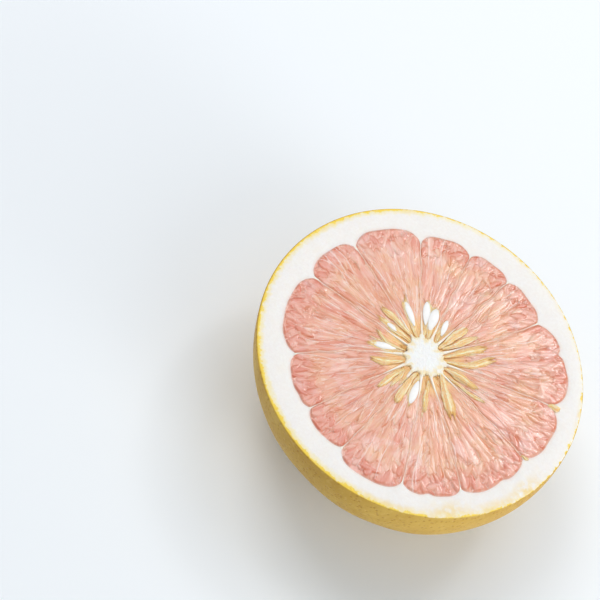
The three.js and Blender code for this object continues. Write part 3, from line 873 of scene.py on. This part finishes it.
def lay_seed(bm, root, tip, wide, fullest, torn, lie, rng, burnt=0.0, around=34, along=34):
    """Adds one wrinkled coat from `root` to `tip`, which lies at the levels that `lie` gives. Its
    tip is a hollow, torn as far as `torn` says, and closed inside."""
    one = bmesh.new()
    rows = [(s, 1.0) for s in np.linspace(0, 1, along)] + [(0.94, 0.55), (0.9, 0.0)]
    bmesh.ops.create_grid(one, x_segments=around, y_segments=len(rows) - 1, size=0.5)
    names = ("along", "rib", "burnt", "crest")
    layers = {name: one.verts.layers.float.new(name) for name in names}
    grain = one.verts.layers.float_vector.new("grain")
    way = Vector((tip[0] - root[0], tip[1] - root[1], 0))
    aside = Vector((-way.y, way.x, 0)).normalized()
    length = way.length
    (sunk, middle, end), plump = lie
    bend, wave = rng.normal(0, BEND) * length, rng.uniform(0, 2 * math.pi)
    folds = [(*fold, rng.uniform(0, 2 * math.pi), rng.normal(0, 1.6)) for fold in FOLDS]
    shift = rng.uniform(0, 100)
    for p in one.verts:
        turn = (p.co.x + 0.5) * 2 * math.pi
        s, open_end = rows[round((p.co.y + 0.5) * (len(rows) - 1))]
        if s < fullest:
            girth = 0.2 + 0.8 * (s / fullest) ** 0.75
        else:
            girth = 1 - (0.76 - 0.34 * torn) * ((s - fullest) / (1 - fullest)) ** 2.2
        girth *= min(1, s / 0.03) ** 0.5
        rib = sum(size * (1 - 2 * abs(math.sin((n * turn + phase + drift * s) / 2)) ** 0.7)
                  for n, size, phase, drift in folds)
        girth *= 1 + rib * min(1, s * 5)
        frill = math.sin(3 * turn + wave) + 0.7 * math.sin(7 * turn - wave)
        frill += 0.6 * math.sin(12 * turn + 2 * wave)
        reach = s + open_end * torn * FRILL * max(0, (s - 0.8) / 0.2) * frill
        girth *= 1 + 0.07 * math.sin(11 * s + wave) + 0.05 * math.sin(23 * s + 2 * wave)
        level = sunk + (middle - sunk) * min(1, s / 0.35) ** 0.7
        level += (end - middle) * max(0, s - 0.35) / 0.65
        sway = bend * math.sin(math.pi * s) + WAVER * math.sin(9 * s + wave)
        half = wide / 2 * girth * open_end
        flat = half * math.cos(turn) * (1 + 0.25 * torn * max(0, s - 0.8) * frill)
        rise = half * plump * math.sin(turn)
        p.co = Vector((*root, level + rise)) + way * reach + aside * (flat + sway)
        browned = max(burnt, (0.3 + 0.7 * torn) * max(0, (s - 0.84) / 0.16))
        for name, value in zip(names, (s, rib * 4, browned, math.sin(turn))):
            p[layers[name]] = value
        p[grain] = (s * length / 7 + shift, flat * 1.1, rise * 1.1)
    bmesh.ops.remove_doubles(one, verts=one.verts, dist=FINE_WELD)
    gather(one, bm)


def lay_kernel(bm, root, tip, wide, around=36, along=30):
    """Adds one kernel, cut flat: pointed towards the core and round at its far end."""
    one = bmesh.new()
    bmesh.ops.create_grid(one, x_segments=around, y_segments=along, size=0.5)
    way = Vector((tip[0] - root[0], tip[1] - root[1], 0))
    aside = Vector((-way.y, way.x, 0)).normalized()
    for p in one.verts:
        turn, s = (p.co.x + 0.5) * 2 * math.pi, min(1.0, max(0.0, p.co.y + 0.5))
        girth = wide / 2 * max(0, math.sin(math.pi * s ** 1.2)) ** 0.58
        rise = KERNEL_HEIGHT * math.tanh(1.6 * math.sin(turn)) * girth
        level = KERNEL_LEVEL + KERNEL_TILT * s
        p.co = Vector((*root, level + rise)) + way * s + aside * girth * math.cos(turn)
    bmesh.ops.remove_doubles(one, verts=one.verts, dist=FINE_WELD)
    gather(one, bm)


def seed_coats():
    """The whole golden seeds, the opened coats, and the scraps of coat round them."""
    rng = np.random.default_rng(77)
    bm = bmesh.new()
    for root, tip, wide, fullest, torn in GOLDEN:
        lay_seed(bm, root, tip, wide, fullest, torn, WHOLE, rng)
    for root, tip, wide, fullest, torn, *_ in OPENED:
        lay_seed(bm, root, tip, wide, fullest, torn, SLICED, rng)
    for root, tip, wide in STRANDS:
        lay_seed(bm, root, tip, wide, 0.5, 0.5, TORN_STRIP, rng, 0, 14, 26)
    for root, tip, wide in BURNT:
        lay_seed(bm, root, tip, wide, 0.4, 0.4, BURNT_SCRAP, rng, 0.8, 16, 16)
    for root, tip, wide, fullest, torn in SPECKS:
        lay_seed(bm, root, tip, wide, fullest, torn, LOOSE_SCRAP, rng, 0, 20, 16)
    return bm


def kernels():
    """The smooth kernels of the seeds that were cut through."""
    bm = bmesh.new()
    for *_, root, tip, wide in OPENED:
        lay_kernel(bm, root, tip, wide)
    return bm


COAT_GOLD, COAT_CREAM, COAT_SIDE_SHADE = colour(251, 204, 118), colour(255, 242, 208), colour(248, 178, 90)
COAT_TOP_HIGHLIGHT, COAT_FOLD_SHADE = colour(255, 244, 204), colour(236, 160, 70)
COAT_BLOTCH, COAT_SPOT, COAT_ROOT = colour(244, 180, 90), colour(228, 152, 66), colour(246, 190, 100)
BURNT_BROWN, BURNT_GOLD = colour(204, 128, 46), colour(242, 182, 90)
KERNEL_WHITE, KERNEL_BRIGHT = colour(242, 239, 236), colour(248, 246, 243)


def coat_finish():
    """A dry, fibrous golden skin: straw, with a painted highlight along its top, painted amber shade
    down its sides and in its folds, and brown at the torn tip."""
    f = Finish("seed_coat")
    fibres = f.noise(0.45, 4, 0.6, f.painted("grain", "Vector"))
    crest = f.painted("crest")
    tone = f.mix(fibres.step(0.38, 0.58), COAT_GOLD, COAT_CREAM)
    # painted shade: amber down the coat's sides and under it
    tone = f.mix(crest.step(0.7, -0.3) * 0.7, tone, COAT_SIDE_SHADE)
    # painted highlight: paler straw along the coat's top
    tone = f.mix(crest.step(0.5, 1.0) * fibres.step(0.35, 0.55) * 0.7, tone, COAT_TOP_HIGHLIGHT)
    # painted shade in the grooves of the folds
    tone = f.mix(f.painted("rib").step(0.05, -0.6) * 0.55, tone, COAT_FOLD_SHADE)
    tone = f.mix(f.noise(0.0045, 2).step(0.5, 0.68) * 0.35, tone, COAT_BLOTCH)
    tone = f.mix(f.noise(0.0018, 2).step(0.56, 0.66) * 0.3, tone, COAT_SPOT)
    brown = f.mix(fibres.step(0.4, 0.6), BURNT_BROWN, BURNT_GOLD)
    tone = f.mix(f.painted("burnt").step(0.12, 0.8) * 0.85, tone, brown)
    tone = f.mix(f.painted("along").step(0.14, 0.0) * 0.3, tone, COAT_ROOT)
    return f.set(Base_Color=tone, Roughness=0.45, Normal=f.bump(fibres, 0.0004, 0.7),
                 Coat_Weight=0.12, Coat_Roughness=0.2, Subsurface_Weight=0.35,
                 Subsurface_Scale=0.002, Subsurface_Radius=(1.0, 0.7, 0.25))


def kernel_finish():
    """Smooth, moist, milk-white seed flesh."""
    f = Finish("kernel")
    cloud = f.noise(0.003, 2)
    tone = f.mix(cloud.step(0.4, 0.7), KERNEL_WHITE, KERNEL_BRIGHT)
    return f.set(Base_Color=tone, Roughness=0.35, Normal=f.bump(cloud, 0.0001, 0.3),
                 Coat_Weight=0.15, Coat_Roughness=0.15)


add_piece(seed_coats(), "seed_coats", coat_finish(), "seeds")
add_piece(kernels(), "seed_kernels", kernel_finish(), "seeds")


# ==== The studio =================================================================================
# A plain pale floor, soft light from large panels all round, and the camera, which looks down on
# the cut.

FLOOR_SIZE = 6.0  # metres, as are the distances and sizes of the lights
FLOOR_WHITE = (0.91, 0.935, 0.965)
SKY, SKY_STRENGTH = (0.88, 0.95, 1, 1), 0.45
floor_bm = bmesh.new()
bmesh.ops.create_grid(floor_bm, x_segments=1, y_segments=1, size=FLOOR_SIZE / 2)
floor_mesh = bpy.data.meshes.new("floor")
floor_bm.to_mesh(floor_mesh)
floor_bm.free()
floor = bpy.data.objects.new("floor", floor_mesh)
bpy.context.scene.collection.objects.link(floor)
paper = Finish("floor_paper")
floor_mesh.materials.append(paper.set(Base_Color=FLOOR_WHITE, Roughness=0.9))


def panel(name, azimuth, elevation, distance, size, power, tone):
    """A square soft light aimed at the fruit, `azimuth` in degrees from +X."""
    lamp = bpy.data.lights.new(name, "AREA")
    lamp.shape = "SQUARE"
    lamp.size, lamp.energy, lamp.color = size, power, tone
    obj = bpy.data.objects.new(name, lamp)
    bpy.context.scene.collection.objects.link(obj)
    a, e = math.radians(azimuth), math.radians(elevation)
    towards = Vector((math.cos(a) * math.cos(e), math.sin(a) * math.cos(e), math.sin(e)))
    obj.location = Vector((0, 0, FACE_Z)) + towards * distance
    obj.rotation_euler = towards.to_track_quat("Z", "Y").to_euler()


# The lights: azimuth, elevation, distance, size, watts, colour.
panel("key", 150, 54, 2.6, 1.25, 23, (1, 0.97, 0.93))
panel("fill", 340, 32, 2.6, 1.6, 12, (1, 1, 1))
panel("low", 352, 9, 1.1, 0.4, 4.6, (0.97, 1, 0.98))
panel("window", 88, 57, 1.6, 0.8, 5.5, (0.93, 0.95, 1))
panel("sparkle", 76, 52, 1.4, 0.16, 1.0, (1, 1, 1))

world = bpy.data.worlds.new("studio")
world.use_nodes = True
sky = world.node_tree.nodes["Background"].inputs
sky["Color"].default_value = SKY
sky["Strength"].default_value = SKY_STRENGTH
bpy.context.scene.world = world
bpy.context.scene.view_settings.view_transform = "Standard"

CAMERA_FROM = Vector((0, -0.4332, 0.67535))  # from the middle of the cut face
CAMERA_RIGHT = Vector((0.80235, 0.53839, 0.25764))
CAMERA_UP = Vector((-0.59155, 0.65985, 0.46332))
FOCAL_LENGTH, SENSOR_WIDTH = 100, 36
lens = bpy.data.cameras.new("camera")
lens.lens, lens.sensor_width = FOCAL_LENGTH, SENSOR_WIDTH
camera = bpy.data.objects.new("camera", lens)
bpy.context.scene.collection.objects.link(camera)
back = CAMERA_RIGHT.cross(CAMERA_UP).normalized()
turned = Matrix((CAMERA_RIGHT, back.cross(CAMERA_RIGHT).normalized(), back)).transposed()
face_middle = Vector((AXIS_X / 1000, AXIS_Y / 1000, FACE_Z))
camera.matrix_world = Matrix.Translation(face_middle + CAMERA_FROM) @ turned.to_4x4()
bpy.context.scene.camera = camera
